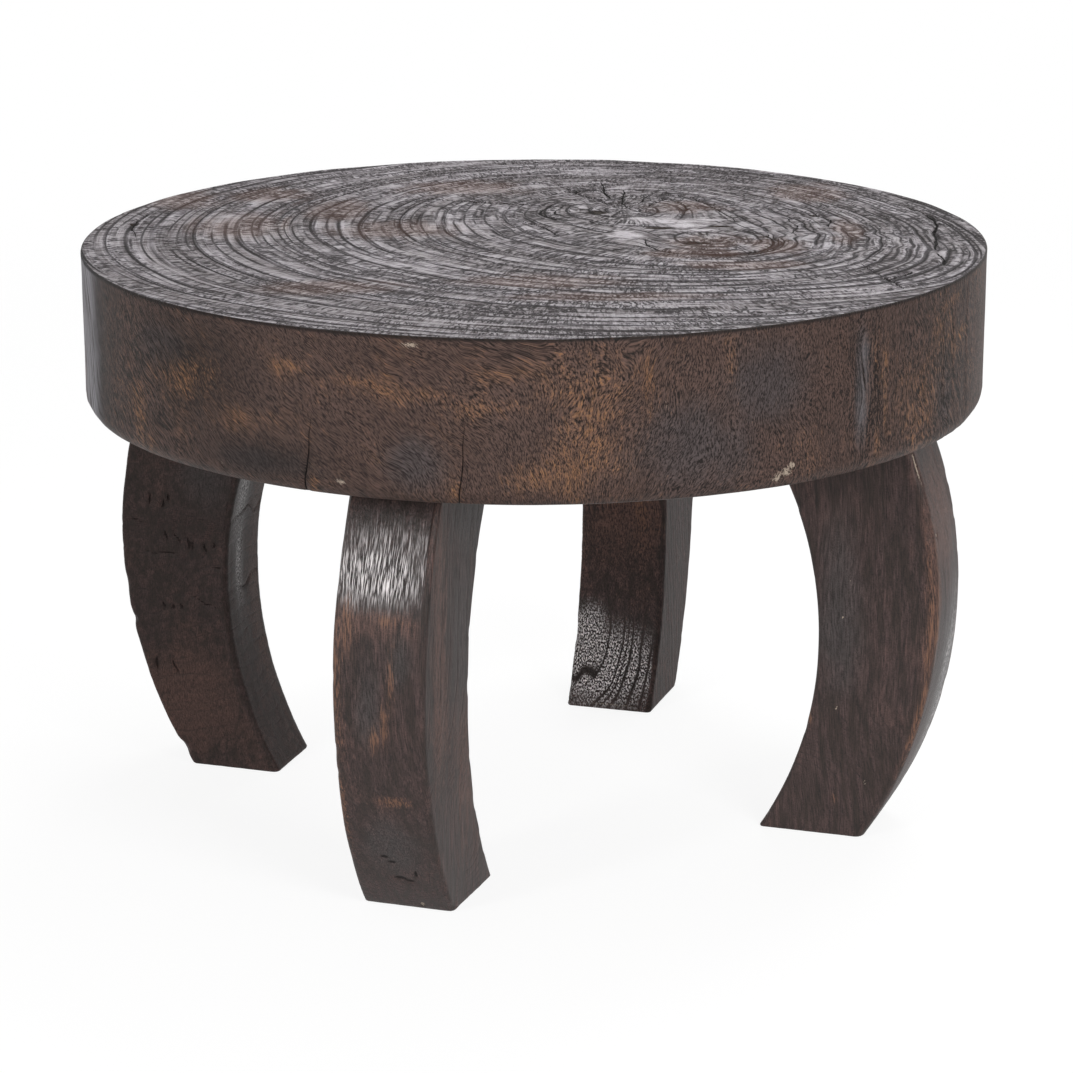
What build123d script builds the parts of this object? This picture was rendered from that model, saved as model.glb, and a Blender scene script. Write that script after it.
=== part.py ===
from build123d import *
import os
from collections import namedtuple
from math import cos, hypot, radians, sin, sqrt

# A low round table. A thick slab, cut across a tree trunk, stands on four bowed legs.
# Each leg is held to the slab's underside by two glued dowels in blind bores.
#
# Millimetres. The origin is on the floor under the middle of the top, and +Z is up.
# The front leg stands near -Y, the right leg near +X, the back leg near +Y and the left
# leg near -X.

# ---- Whole table
top_diameter = 712.0
table_height = 457.0

# ---- Slab
slab_thickness = 123.0
slab_top_round = 2.5      # worn upper rim
slab_bottom_round = 12.0  # eased lower rim

# ---- Legs. Each was sawn by eye and set by eye, so each has its own sizes. A bearing is
# the direction a leg stands in, in degrees from +X. Insets are measured inward from the
# slab's rim to the leg's outer face, depths inward from there, and a bow is how far a
# curve stands out from the straight line between its ends.
LegSizes = namedtuple(
    "LegSizes",
    "bearing width foot_inset foot_depth top_inset top_depth outer_bow inner_bow",
)
legs = {
    "front": LegSizes(
        bearing=-90.7,
        width=74.0,
        foot_inset=66.0,
        foot_depth=85.0,
        top_inset=52.0,
        top_depth=114.0,
        outer_bow=50.0,
        inner_bow=55.0,
    ),
    "right": LegSizes(
        bearing=-0.3,
        width=76.0,
        foot_inset=71.0,
        foot_depth=86.0,
        top_inset=45.0,
        top_depth=121.0,
        outer_bow=43.0,
        inner_bow=51.0,
    ),
    "back": LegSizes(
        bearing=90.7,
        width=78.0,
        foot_inset=68.0,
        foot_depth=84.0,
        top_inset=42.0,
        top_depth=116.0,
        outer_bow=43.0,
        inner_bow=49.0,
    ),
    "left": LegSizes(
        bearing=180.3,
        width=76.0,
        foot_inset=65.0,
        foot_depth=79.0,
        top_inset=37.0,
        top_depth=117.0,
        outer_bow=43.0,
        inner_bow=47.0,
    ),
}
leg_arris_round = 3.0     # the four long edges
sole_chamfer = 1.0        # the edges that meet the floor

# ---- Dowels
dowel_diameter = 20.0
dowel_length = 90.0       # half in the slab, half in the leg
dowel_chamfer = 2.0
dowel_wall = 11.0         # least wood between a bore and the leg's faces
flute_count = 12
flute_radius = 0.9
glue_film = 0.05          # radial gap round a dowel
glue_pocket = 2.0         # gap past each end of a dowel

# ---- What follows from them
slab_radius = top_diameter / 2
leg_height = table_height - slab_thickness
dowel_radius = dowel_diameter / 2
bore_radius = dowel_radius + glue_film
bore_depth = dowel_length / 2 + glue_pocket


def foot_reaches(leg):
    """How far the sole's outer and inner edges stand from the table's axis."""
    outer = slab_radius - leg.foot_inset
    return outer, outer - leg.foot_depth


def top_reaches(leg):
    """The same for the leg's top."""
    outer = slab_radius - leg.top_inset
    return outer, outer - leg.top_depth


def inner_reach_at(height, leg):
    """Distance from the table's axis of the leg's inner curve at this height."""
    foot, top = foot_reaches(leg)[1], top_reaches(leg)[1]
    chord = hypot(top - foot, leg_height)
    radius = (chord**2 / 4 + leg.inner_bow**2) / (2 * leg.inner_bow)
    centre_out = (foot + top) / 2 - (radius - leg.inner_bow) * leg_height / chord
    centre_up = leg_height / 2 + (radius - leg.inner_bow) * (top - foot) / chord
    return centre_out + sqrt(radius**2 - (height - centre_up) ** 2)


def dowel_reaches(leg):
    """The two dowels share the upright column of wood between the inner curve, where the
    bores end, and the outer edge of the leg's top."""
    column_inner = inner_reach_at(leg_height - bore_depth, leg)
    column_outer = top_reaches(leg)[0]
    edge_to_centre = dowel_wall + bore_radius
    return {"inner": column_inner + edge_to_centre, "outer": column_outer - edge_to_centre}


def out_from_axis(reach, bearing):
    """A point at this reach and bearing, in plan."""
    return (reach * cos(radians(bearing)), reach * sin(radians(bearing)))


def leg_plane(bearing):
    """The upright plane through the table's axis: x runs outward and y runs up."""
    outward = out_from_axis(1, bearing)
    return Plane(origin=(0, 0, 0), x_dir=(*outward, 0), z_dir=(outward[1], -outward[0], 0))


def dowel_points(leg):
    """The centres of the leg's two bores, in plan."""
    return [out_from_axis(reach, leg.bearing) for reach in dowel_reaches(leg).values()]


os.makedirs("parts", exist_ok=True)

# ---- Slab: a plain disc with an eased rim and eight blind bores in its underside
with BuildPart() as slab:
    with BuildSketch(Plane.XY.offset(leg_height)):
        Circle(slab_radius)
    extrude(amount=slab_thickness)
    fillet(slab.edges().group_by(Axis.Z)[-1], radius=slab_top_round)
    fillet(slab.edges().group_by(Axis.Z)[0], radius=slab_bottom_round)
    for leg_sizes in legs.values():
        with BuildSketch(Plane.XY.offset(leg_height)):
            with Locations(*dowel_points(leg_sizes)):
                Circle(bore_radius)
        extrude(amount=bore_depth, mode=Mode.SUBTRACT)
slab.part.label = "tabletop_slab"
export_step(slab.part, "parts/tabletop_slab.step")

# ---- Legs: a bowed profile, sawn to an even width, with two blind bores in its top
for place, leg_sizes in legs.items():
    foot_outer, foot_inner = foot_reaches(leg_sizes)
    top_outer, top_inner = top_reaches(leg_sizes)
    with BuildPart() as leg:
        with BuildSketch(leg_plane(leg_sizes.bearing)):
            with BuildLine():
                SagittaArc((foot_outer, 0), (top_outer, leg_height), -leg_sizes.outer_bow)
                Line((top_outer, leg_height), (top_inner, leg_height))
                SagittaArc((top_inner, leg_height), (foot_inner, 0), leg_sizes.inner_bow)
                Line((foot_inner, 0), (foot_outer, 0))
            make_face()
        extrude(amount=leg_sizes.width / 2, both=True)
        fillet(leg.edges().filter_by(GeomType.CIRCLE), radius=leg_arris_round)
        chamfer(leg.faces().sort_by(Axis.Z)[0].edges(), length=sole_chamfer)
        with BuildSketch(Plane.XY.offset(leg_height)):
            with Locations(*dowel_points(leg_sizes)):
                Circle(bore_radius)
        extrude(amount=-bore_depth, mode=Mode.SUBTRACT)
    leg.part.label = f"leg_{place}"
    export_step(leg.part, f"parts/leg_{place}.step")

# ---- Dowels: fluted pins that cross the joint between slab and leg
dowel_foot = Plane.XY.offset(leg_height - dowel_length / 2)
for place, leg_sizes in legs.items():
    for side, reach in dowel_reaches(leg_sizes).items():
        with BuildPart() as dowel:
            with BuildSketch(dowel_foot):
                with Locations(out_from_axis(reach, leg_sizes.bearing)):
                    Circle(dowel_radius)
            extrude(amount=dowel_length)
            chamfer(dowel.edges().filter_by(GeomType.CIRCLE), length=dowel_chamfer)
            with BuildSketch(dowel_foot):
                with Locations(out_from_axis(reach, leg_sizes.bearing)):
                    with PolarLocations(dowel_radius, flute_count):
                        Circle(flute_radius)
            extrude(amount=dowel_length, mode=Mode.SUBTRACT)
        dowel.part.label = f"dowel_{place}_{side}"
        export_step(dowel.part, f"parts/dowel_{place}_{side}.step")
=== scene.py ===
import math

import bpy
import numpy as np
from mathutils import Matrix, Vector
from mathutils.geometry import delaunay_2d_cdt


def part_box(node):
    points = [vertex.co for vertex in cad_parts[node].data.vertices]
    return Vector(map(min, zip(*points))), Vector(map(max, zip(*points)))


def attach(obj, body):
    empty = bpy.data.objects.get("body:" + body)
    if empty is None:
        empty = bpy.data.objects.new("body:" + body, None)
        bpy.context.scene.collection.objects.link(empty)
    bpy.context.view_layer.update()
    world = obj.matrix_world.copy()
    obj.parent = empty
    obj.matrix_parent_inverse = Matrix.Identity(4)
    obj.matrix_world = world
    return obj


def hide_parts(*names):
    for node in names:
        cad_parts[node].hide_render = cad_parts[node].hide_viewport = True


# A low round table: a thick slab of end grain on four bowed legs, burnt dark and waxed.
# The frame is in metres. Shapes here are worked out in millimetres and written in metres.
# A plan position is given as the camera sees it: x to its right, y away from it.

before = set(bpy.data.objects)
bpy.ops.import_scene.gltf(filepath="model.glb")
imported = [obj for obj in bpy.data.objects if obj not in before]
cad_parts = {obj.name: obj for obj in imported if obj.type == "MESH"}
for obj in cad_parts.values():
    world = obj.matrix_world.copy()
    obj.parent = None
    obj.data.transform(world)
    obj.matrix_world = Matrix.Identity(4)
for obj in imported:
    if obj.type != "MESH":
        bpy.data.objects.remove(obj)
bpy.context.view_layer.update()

MM = 0.001
crease_angle = math.radians(50)       # sharper edges than this stay sharp
same_place = 1e-4              # points of a flat cap closer than this are one

# ---- Where the camera stands: turned about the table from -Y, and looking down
camera_turn = math.radians(18.6)
camera_tilt = math.radians(15.854)
camera_roll = math.radians(0.2)
camera_distance = 3.0626
camera_aim = (0.00125, 0.0, 0.2122)   # as the camera sees the plan
photo_pixels = 1073
focal_pixels = 3793.8
sensor_width = 36.0

# ---- Slab
top_cells = 252                # cells along each side of the top's grid
top_round = 1.5                # worn upper rim
bottom_round = 12.0            # eased lower rim
top_round_rows = 3
side_rows = 22
bottom_round_rows = 5
underside_step = 14.0          # spacing of the underside's points
check_reach = 7.0              # how far from an open check its distance is worked out
top_settle = 1.15              # points closer to an open check than this move onto it
side_settle = 1.1
rim_fade = 16.0                # the top's relief weakens this close to the rim
top_sink = 0.15                # keeps the top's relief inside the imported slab
side_depth = 0.8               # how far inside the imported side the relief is, on average

# ---- Legs
leg_rows = 176
leg_face_columns = (42, 52, 42, 52)   # outer, left, inner and right face
leg_corner_columns = 4
leg_arris = 3.9                # rounding of the long edges, before wear
leg_depth = 0.7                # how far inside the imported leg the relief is, on average
leg_top_fade = 6.0             # the relief weakens this close under the slab
sole_ease = 1.0                # how far the foot is drawn in at the floor
sole_row = 1.2                 # and how high above the floor it is back out

# ---- Bores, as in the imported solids
bore_radius = 10.05
bore_depth = 47.0
bore_sides = 32
dowel_sides = ("inner", "outer")

# ---- Where things lie in a mesh's texture square, which is one unit wide
top_uv_middle = 0.36
top_uv_wide = 0.71
strip_uv_start = 0.728         # the side's four strips: two under the top and two beside it
strip_uv_pitch = 0.133
strip_uv_wide = 0.122
strip_uv_long = 0.55
strip_uv_margin = 0.01
underside_uv_middle = 0.865
underside_uv_wide = 0.27
slab_bore_uv = (0.735, 0.60)   # the first bore, then how far apart they are
slab_bore_uv_pitch = 0.065
slab_bore_uv_scale = 0.0009    # to a millimetre
wall_uv_wide = 0.79            # a leg's four faces, unrolled
wall_uv_high = 0.985
wall_uv_margin = 0.005
sole_uv_middle = (0.90, 0.10)
leg_top_uv_middle = (0.90, 0.34)
cap_uv_scale = 0.0021
leg_bore_uv = (0.815, 0.55)
leg_bore_uv_pitch = 0.2
leg_bore_uv_scale = 0.0016

# ---- Growth rings on the top. The trunk had two hearts, at these plan positions, and each
# made this share of its growth.
hearts = {"upper": (72.0 + 120.0j, 0.62), "lower": (140.0 - 10.0j, 0.38)}
heart_size = 0.3               # rings aren't followed closer to a heart than this
ring_walk = 460.0              # nor further from the upper heart than this
trunk_reach = 430.0            # radius at which the rings would run level with the bark
# Where the rings bulge outward, or inward if the share is below 0: bearing, half width, share
trunk_lobes = ((-28, 30, 0.13), (-112, 32, -0.07), (150, 30, 0.02), (75, 30, 0.03))
ring_spacing = 16.0            # between bold rings, left of the hearts
fine_rings = 2                 # fainter rings to each bold one
dash_spacing = 4.4             # between the short radial checks


# ======================================================================= repeatable noise
def lattice(ix, iy, iz, seed):
    """A repeatable number from -1 to 1 for each whole-numbered point."""
    mixed = (ix * 73856093) ^ (iy * 19349663) ^ (iz * 83492791) ^ (seed * 40503 + 977)
    mixed = mixed & 0xFFFFFFFF
    mixed = ((mixed ^ (mixed >> 15)) * 1540483477) & 0xFFFFFFFF
    mixed = ((mixed ^ (mixed >> 13)) * 1103515245) & 0xFFFFFFFF
    return (mixed ^ (mixed >> 16)) / 2147483647.5 - 1.0


def smooth(value, low, high):
    """0 below low, 1 above high, and an even S between."""
    part = np.clip((value - low) / (high - low), 0, 1)
    return part * part * (3 - 2 * part)


def noise(x, y=0.0, z=0.0, seed=0):
    """Smooth noise from -1 to 1, with cells one unit wide."""
    place = np.broadcast_arrays(*(np.asarray(v, float) for v in (x, y, z)))
    corner = [np.floor(v).astype(np.int64) for v in place]
    fade = [smooth(v - low, 0, 1) for v, low in zip(place, corner)]
    total = np.zeros(place[0].shape)
    for steps in np.ndindex(2, 2, 2):
        weights = [part if step else 1 - part for part, step in zip(fade, steps)]
        values = lattice(*[low + step for low, step in zip(corner, steps)], seed)
        total += weights[0] * weights[1] * weights[2] * values
    return total


def bump_at(x, y, at_x, at_y, wide, high):
    """1 at a place, falling away round it."""
    return np.exp(-(((x - at_x) / wide) ** 2) - ((y - at_y) / high) ** 2)


# ======================================================================= meshes
class Shell:
    """Points, faces, materials and uv gathered part by part, then built as one closed mesh."""

    def __init__(self):
        self.points, self.count = [], 0
        self.faces, self.face_materials, self.corner_uv = [], [], []
        self.values = {}

    def add_row(self, points, **attributes):
        """Adds points, with their shading values, and returns their numbers."""
        numbers = self.count + np.arange(len(points))
        self.points.append(np.asarray(points, float))
        self.count += len(points)
        self.set_values(numbers, **attributes)
        return numbers

    def set_values(self, numbers, **attributes):
        """Gives these points their shading values."""
        for key, value in attributes.items():
            self.values.setdefault(key, []).append((numbers, np.asarray(value, float)))

    def add_faces(self, faces, corner_uv, material):
        """Adds faces, each with one uv pair per corner."""
        self.faces += faces
        self.corner_uv += corner_uv
        self.face_materials += [material] * len(faces)

    def add_grid(self, numbers, uv, material):
        """Joins a grid of point numbers into quads, with a uv pair for each of its places."""
        faces, corner_uv = [
            np.stack([v[:-1, :-1], v[:-1, 1:], v[1:, 1:], v[1:, :-1]], 2) for v in (numbers, uv)
        ]
        self.add_faces(faces.reshape(-1, 4).tolist(), corner_uv.reshape(-1, 4, 2).tolist(), material)

    def build(self, name, materials):
        """Makes the smooth-shaded object."""
        points = np.concatenate(self.points)
        mesh = bpy.data.meshes.new(name)
        mesh.from_pydata((points * MM).tolist(), [], self.faces)
        mesh.validate()
        for material in materials:
            mesh.materials.append(material)
        mesh.polygons.foreach_set("material_index", np.asarray(self.face_materials, np.int32))
        mesh.polygons.foreach_set("use_smooth", np.ones(len(self.faces), bool))
        mesh.set_sharp_from_angle(angle=crease_angle)
        uv = np.array([pair for corners in self.corner_uv for pair in corners], np.float32)
        mesh.uv_layers.new(name="OFBake").uv.foreach_set("vector", uv.ravel())
        for key, pieces in self.values.items():
            values = np.zeros((len(points), *pieces[0][1].shape[1:]), np.float32)
            for numbers, value in pieces:
                values[numbers] = value
            kind, field = ("FLOAT_VECTOR", "vector") if values.ndim == 2 else ("FLOAT", "value")
            mesh.attributes.new(key, kind, "POINT").data.foreach_set(field, values.ravel())
        mesh.update()
        made = bpy.data.objects.new(name, mesh)
        bpy.context.scene.collection.objects.link(made)
        return made


def closed(rows):
    """Rows of point numbers, each ending where it began."""
    return np.column_stack([rows, np.asarray(rows)[:, 0]])


def flat_cap(shell, outline, bores, inside, facing_up, uv_of, material):
    """Fills a flat outline with triangles, leaving round holes. The outline and each bore are
    (point numbers, plan positions), and inside is more points to use."""
    numbers, plan, loop_of, edges = [], [], [], []
    for loop, (loop_numbers, places) in enumerate([outline, *bores]):
        start, count = len(numbers), len(places)
        edges += [(start + k, start + (k + 1) % count) for k in range(count)]
        numbers += list(loop_numbers)
        plan += list(places)
        loop_of += [loop] * count
    if len(inside):
        numbers += list(shell.add_row(inside))
        plan += list(inside[:, :2])
        loop_of += [0] * len(inside)
    _, _, triangles, sources, *_ = delaunay_2d_cdt([Vector(p) for p in plan], edges, [], 0, same_place)
    faces, corner_uv = [], []
    for triangle in triangles:
        corners = [sources[k][0] for k in triangle]
        loops = {loop_of[k] for k in corners}
        a, b, c = [plan[k] for k in corners]
        in_hole = len(loops) == 1 and 0 not in loops
        if in_hole or not inside_outline((a + b + c) / 3, outline[1]):
            continue
        turn = (b[0] - a[0]) * (c[1] - a[1]) - (b[1] - a[1]) * (c[0] - a[0])
        if (turn > 0) != facing_up:
            corners.reverse()
        faces.append([int(numbers[k]) for k in corners])
        corner_uv.append([uv_of(plan[k]) for k in corners])
    shell.add_faces(faces, corner_uv, material)


def inside_outline(point, outline):
    """Whether a plan position is inside a loop of them."""
    x, y = point
    ax, ay = outline[:, 0], outline[:, 1]
    bx, by = np.roll(ax, -1), np.roll(ay, -1)
    crosses = (ay > y) != (by > y)
    with np.errstate(divide="ignore", invalid="ignore"):
        at = ax + (y - ay) * (bx - ax) / (by - ay)
    return np.count_nonzero(crosses & (x < at)) % 2 == 1


def add_bore(shell, centre, mouth, floor, uv_corner, uv_scale, material):
    """A blind round hole. Returns its mouth, as (point numbers, plan positions)."""
    turn = np.arange(bore_sides + 1) * 2 * np.pi / bore_sides
    circle = bore_radius * np.column_stack([np.cos(turn), np.sin(turn)])
    plan = np.array(centre) + circle[:-1]
    rows = [
        shell.add_row(np.column_stack([plan, np.full(bore_sides, height)]))
        for height in (mouth, floor)
    ]
    u = uv_corner[0] + bore_radius * turn * uv_scale
    v = uv_corner[1] + np.array([0, abs(mouth - floor)]) * uv_scale
    going_down = mouth > floor
    shell.add_grid(closed(rows if going_down else rows[::-1]), np.stack(np.meshgrid(u, v), -1), material)

    # The floor's triangles, whose texture lies beside the wall's.
    middle = int(shell.add_row([[*centre, floor]])[0])
    middle_uv = np.array([uv_corner[0] + bore_radius * uv_scale, v[1] + (bore_radius + 2) * uv_scale])
    rim, rim_uv = closed(rows)[1], middle_uv + circle * uv_scale
    for k in range(bore_sides):
        trio = [int(rim[k]), int(rim[k + 1]), middle]
        places = [rim_uv[k], rim_uv[k + 1], middle_uv]
        turned = slice(None, None, 1 if going_down else -1)
        shell.add_faces([trio[turned]], [places[turned]], material)
    return rows[0], plan


# ======================================================================= the top's figure
def camera_plan(x, y):
    """Frame plan to plan as the camera sees it."""
    cos, sin = math.cos(camera_turn), math.sin(camera_turn)
    return x * cos + y * sin, -x * sin + y * cos


def frame_plan(x, y):
    """Plan as the camera sees it to frame plan."""
    cos, sin = math.cos(camera_turn), math.sin(camera_turn)
    return x * cos - y * sin, x * sin + y * cos


def growth(place):
    """How the trunk grew, at complex plan positions: a level that is the same all along a
    ring, the bearing across the rings, and how fast the bearing turns, per millimetre."""
    bearing = np.degrees(np.angle(place))
    squeeze = np.zeros(place.shape)
    for at, wide, size in trunk_lobes:
        away = (bearing - at + 180) % 360 - 180
        squeeze += size * np.exp(-((away / wide) ** 2))
    place = place * (1 - squeeze * (np.abs(place) / slab_radius) ** 1.2)
    along = hearts["lower"][0] - hearts["upper"][0]
    along /= abs(along)
    level, turned, rate = 0.0, 0.0, 0.0
    for heart, share in hearts.values():
        mirror = trunk_reach**2 / np.conj(heart)
        from_heart, from_mirror = place - heart, place - mirror
        nearness = np.maximum(np.abs(from_heart), heart_size) / np.abs(from_mirror)
        level = level + share * np.log(nearness * trunk_reach / abs(heart))
        turned = turned + share * (np.angle(-from_heart / along) - np.angle(-from_mirror / mirror))
        from_heart = np.where(np.abs(from_heart) < heart_size, heart_size, from_heart)
        rate = rate + share * (1 / from_heart - 1 / from_mirror)
    return level, turned, np.abs(rate)


def ring_number(level, turned, rate, seen_x, seen_y):
    """Bold rings counted out from the upper heart, unevenly spaced and slightly wavy, and
    how many millimetres apart they are at each place."""
    walk = np.linspace(heart_size, ring_walk, 900)
    levels = growth(hearts["upper"][0] - walk)[0]
    distance = np.interp(level, levels, walk)
    per_level = np.interp(level, levels, np.gradient(walk, levels))
    even = distance / ring_spacing
    uneven = even + 0.32 * noise(even * 0.5, seed=11) + 0.10 * noise(even * 1.3, seed=12)
    x, y = np.cos(turned), np.sin(turned)
    sway = 0.22 * noise(x * 2.2, y * 2.2, even * 0.25, seed=13)
    ripple = 0.09 * noise(x * 7, y * 7, even * 0.65, seed=14)
    wavy = bump_at(seen_x, seen_y, 245, 20, 85, 120)
    waves = 0.30 * wavy * noise(seen_x / 24, seen_y / 15, seed=15)
    span = ring_spacing / np.maximum(per_level * rate, 0.2)
    return uneven + (sway + ripple) * smooth(distance, 15, 90) + waves, np.clip(span, 2, 40)


def arc(x, y, radius, start, end, step=12):
    """Points on a circular arc, in degrees from the camera's right."""
    turns = np.radians(np.arange(start, end + step / 2, step))
    return [(x + radius * math.cos(t), y + radius * math.sin(t)) for t in turns]


# Open checks and deep rings on the top, as lines on the plan: (half width, depth, points)
top_checks = (
    (1.9, 3.2, [(308, 126), (318, 102), (323, 78), (324, 52), (318, 26), (318, 0), (312, -48)]),
    (1.3, 2.5, [(312, -60), (316, -84), (312, -110)]),
    (1.2, 2.5, [(-306, 140), (-315, 110), (-320, 85), (-322, 65), (-323, 50), (-315, 10)]),
    (1.3, 3.0, [(-97, 171), (-72, 167), (-50, 157), (-27, 147), (0, 141), (25, 130), (42, 120)]),
    (1.0, 2.5, [(84, 114), (115, 115), (140, 125), (170, 140)]),
    (1.2, 2.5, [(69, 103), (55, 80), (40, 57)]),
    (1.3, 3.0, [(20, 235), (36, 197), (55, 162), (69, 132)]),
    (1.3, 3.0, [(58, 246), (59, 201), (66, 168)]),
    (1.4, 3.0, [(76, 207), (74, 178), (73, 151), (80, 120)]),
    (1.0, 2.4, [(100, 196), (92, 170), (85, 140)]),
    (0.9, 2.4, [(112, 172), (100, 150), (90, 128)]),
    (1.1, 2.2, [(-10, 74), (11, 43), (19, 16), (25, 6)]),
    (0.9, 2.0, [(250, -100), (262, -142), (276, -190)]),
    (1.2, 2.4, [(228, 104), (240, 76), (236, 48)]),
    (0.9, 2.0, [(205, 84), (212, 50), (205, 20)]),
    (1.5, 2.4, [(262, -160), (274, -146), (287, -130)]),
    (1.2, 1.8, [(-6, 172), (32, 201), (59, 212), (84, 211), (107, 199), (132, 172), (148, 130),
                (160, 86), (163, 62)]),
    (1.2, 1.6, [(80, 180), (98, 174), (115, 160), (125, 137), (125, 116), (119, 91)]),
    (1.5, 1.8, arc(138, -11, 51, -190, 70)),
    (1.1, 1.2, arc(138, -10, 59, -110, 20)),
    (1.4, 1.4, arc(41, 108, 36, 110, 265)),
    (1.0, 1.2, arc(44, 108, 27, 130, 250)),
)
# Softer marks on the top: plan position, then half width and half depth
pale_figure = (
    (108, 70, 30, 13), (88, 80, 12, 12), (142, 74, 18, 5), (74, 13, 17, 13), (70, 24, 12, 12),
    (118, 52, 22, 9), (79, 107, 6, 3), (128, 32, 16, 5),
)
dark_pits = (
    (101, 45, 13, 8), (52, 107, 10, 9), (150, 47, 14, 4), (128, -16, 12, 7),
    (-322, 66, 4, 7), (228, 92, 5, 5),
)
pale_chips = ((40, 137, 5, 4), (41, 129, 5, 4), (262, -176, 5, 3))
brown_tints = (
    (-235, 60, 50, 60), (-110, 40, 60, 40), (10, -160, 70, 30), (125, -55, 45, 25),
    (162, -100, 60, 20), (250, 30, 14, 60), (-60, 220, 60, 40), (125, 128, 36, 30),
    (60, -215, 90, 18), (-150, -180, 60, 30), (230, 190, 40, 50), (-220, 190, 40, 40),
    (137, -15, 40, 36), (190, -30, 30, 40), (-290, 170, 30, 50), (-160, 120, 30, 60),
)


def nearest_check(x, y):
    """Signed distance to the nearest open check on the top, its half width there, and its
    depth."""
    distance, width, depth = np.full(x.shape, check_reach), np.zeros(x.shape), np.zeros(x.shape)
    wander_x = x + 0.9 * noise(x / 8, y / 8, seed=41)
    wander_y = y + 0.9 * noise(x / 8, y / 8, seed=42)
    for half_width, deep, line in top_checks:
        line = np.array(line, float)
        steps = np.hypot(*np.diff(line, axis=0).T)
        before = 0.0
        for start, end, step in zip(line[:-1], line[1:], steps):
            along_x, along_y = (end - start) / step
            rel_x, rel_y = wander_x - start[0], wander_y - start[1]
            run = np.clip(rel_x * along_x + rel_y * along_y, 0, step)
            off_x, off_y = rel_x - run * along_x, rel_y - run * along_y
            away = np.hypot(off_x, off_y)
            side = np.where(along_x * off_y - along_y * off_x >= 0, 1.0, -1.0)
            nearer = away < np.abs(distance)
            part = (before + run) / steps.sum()
            taper = np.clip(4 * part * (1 - part), 0, 1) ** 0.5
            taper = taper * (0.75 + 0.35 * noise(run / 9 + before, seed=43))
            distance = np.where(nearer, side * away, distance)
            width = np.where(nearer, half_width * taper, width)
            depth = np.where(nearer, deep * taper, depth)
            before += step
    fade = 1 - smooth(np.abs(distance), check_reach - 2, check_reach - 0.5)
    return distance, width * fade, depth * fade


def marks(x, y, spots):
    """The strongest of several soft round marks."""
    total = np.zeros(x.shape)
    for at_x, at_y, wide, high in spots:
        total = np.maximum(total, bump_at(x, y, at_x, at_y, wide, high))
    return total


def top_surface(x, y):
    """Height changes and shading values of the top, for frame plan positions."""
    seen_x, seen_y = camera_plan(x, y)
    level, turned, rate = growth(seen_x + 1j * seen_y)
    ring, span = ring_number(level, turned, rate, seen_x, seen_y)
    away, open_width, depth = nearest_check(seen_x, seen_y)
    figure = marks(seen_x + 5 * noise(x / 15, y / 15, seed=51), seen_y, pale_figure)
    pits = marks(seen_x, seen_y, dark_pits)
    chips = marks(seen_x, seen_y, pale_chips)
    band = np.round(ring)
    strength = 0.75 + 0.25 * noise(band * 7.7, np.cos(turned) * 1.5, np.sin(turned) * 1.5, seed=21)
    groove = np.exp(-(((ring - band) * span / 2.6) ** 2)) * strength * (1 - 0.8 * figure)
    past = (ring - np.floor(ring)) * span
    slope = np.exp(-past / 5) * strength
    swell = 0.55 * noise(ring * 0.55, seed=22) + 0.5 * noise(x / 60, y / 60, seed=23)
    height = -0.55 * groove - 0.5 * slope + swell
    rough = noise(x / 9, y / 9, seed=24) + 0.5 * noise(x / 9 * 2.03, y / 9 * 2.03, seed=25)
    height -= 0.35 * np.abs(rough / 1.5)
    height -= depth * np.clip(1 - np.abs(away) / (open_width + 1.4), 0, 1)
    height -= 1.4 * pits**2 + 1.2 * chips
    height += 1.1 * figure * noise((x + 0.35 * y) / 16, (y - 0.2 * x) / 7, seed=25)
    values = dict(
        ring=ring,
        span=span,
        turn=np.stack([np.cos(turned), np.sin(turned), np.zeros(x.shape)], 1),
        octave=-np.log2(dash_spacing * rate),
        check=away,
        check_open=open_width,
        pale=np.clip(figure + chips, 0, 1),
        pit=pits,
        ember=marks(seen_x, seen_y, brown_tints),
    )
    return height, values


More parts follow.
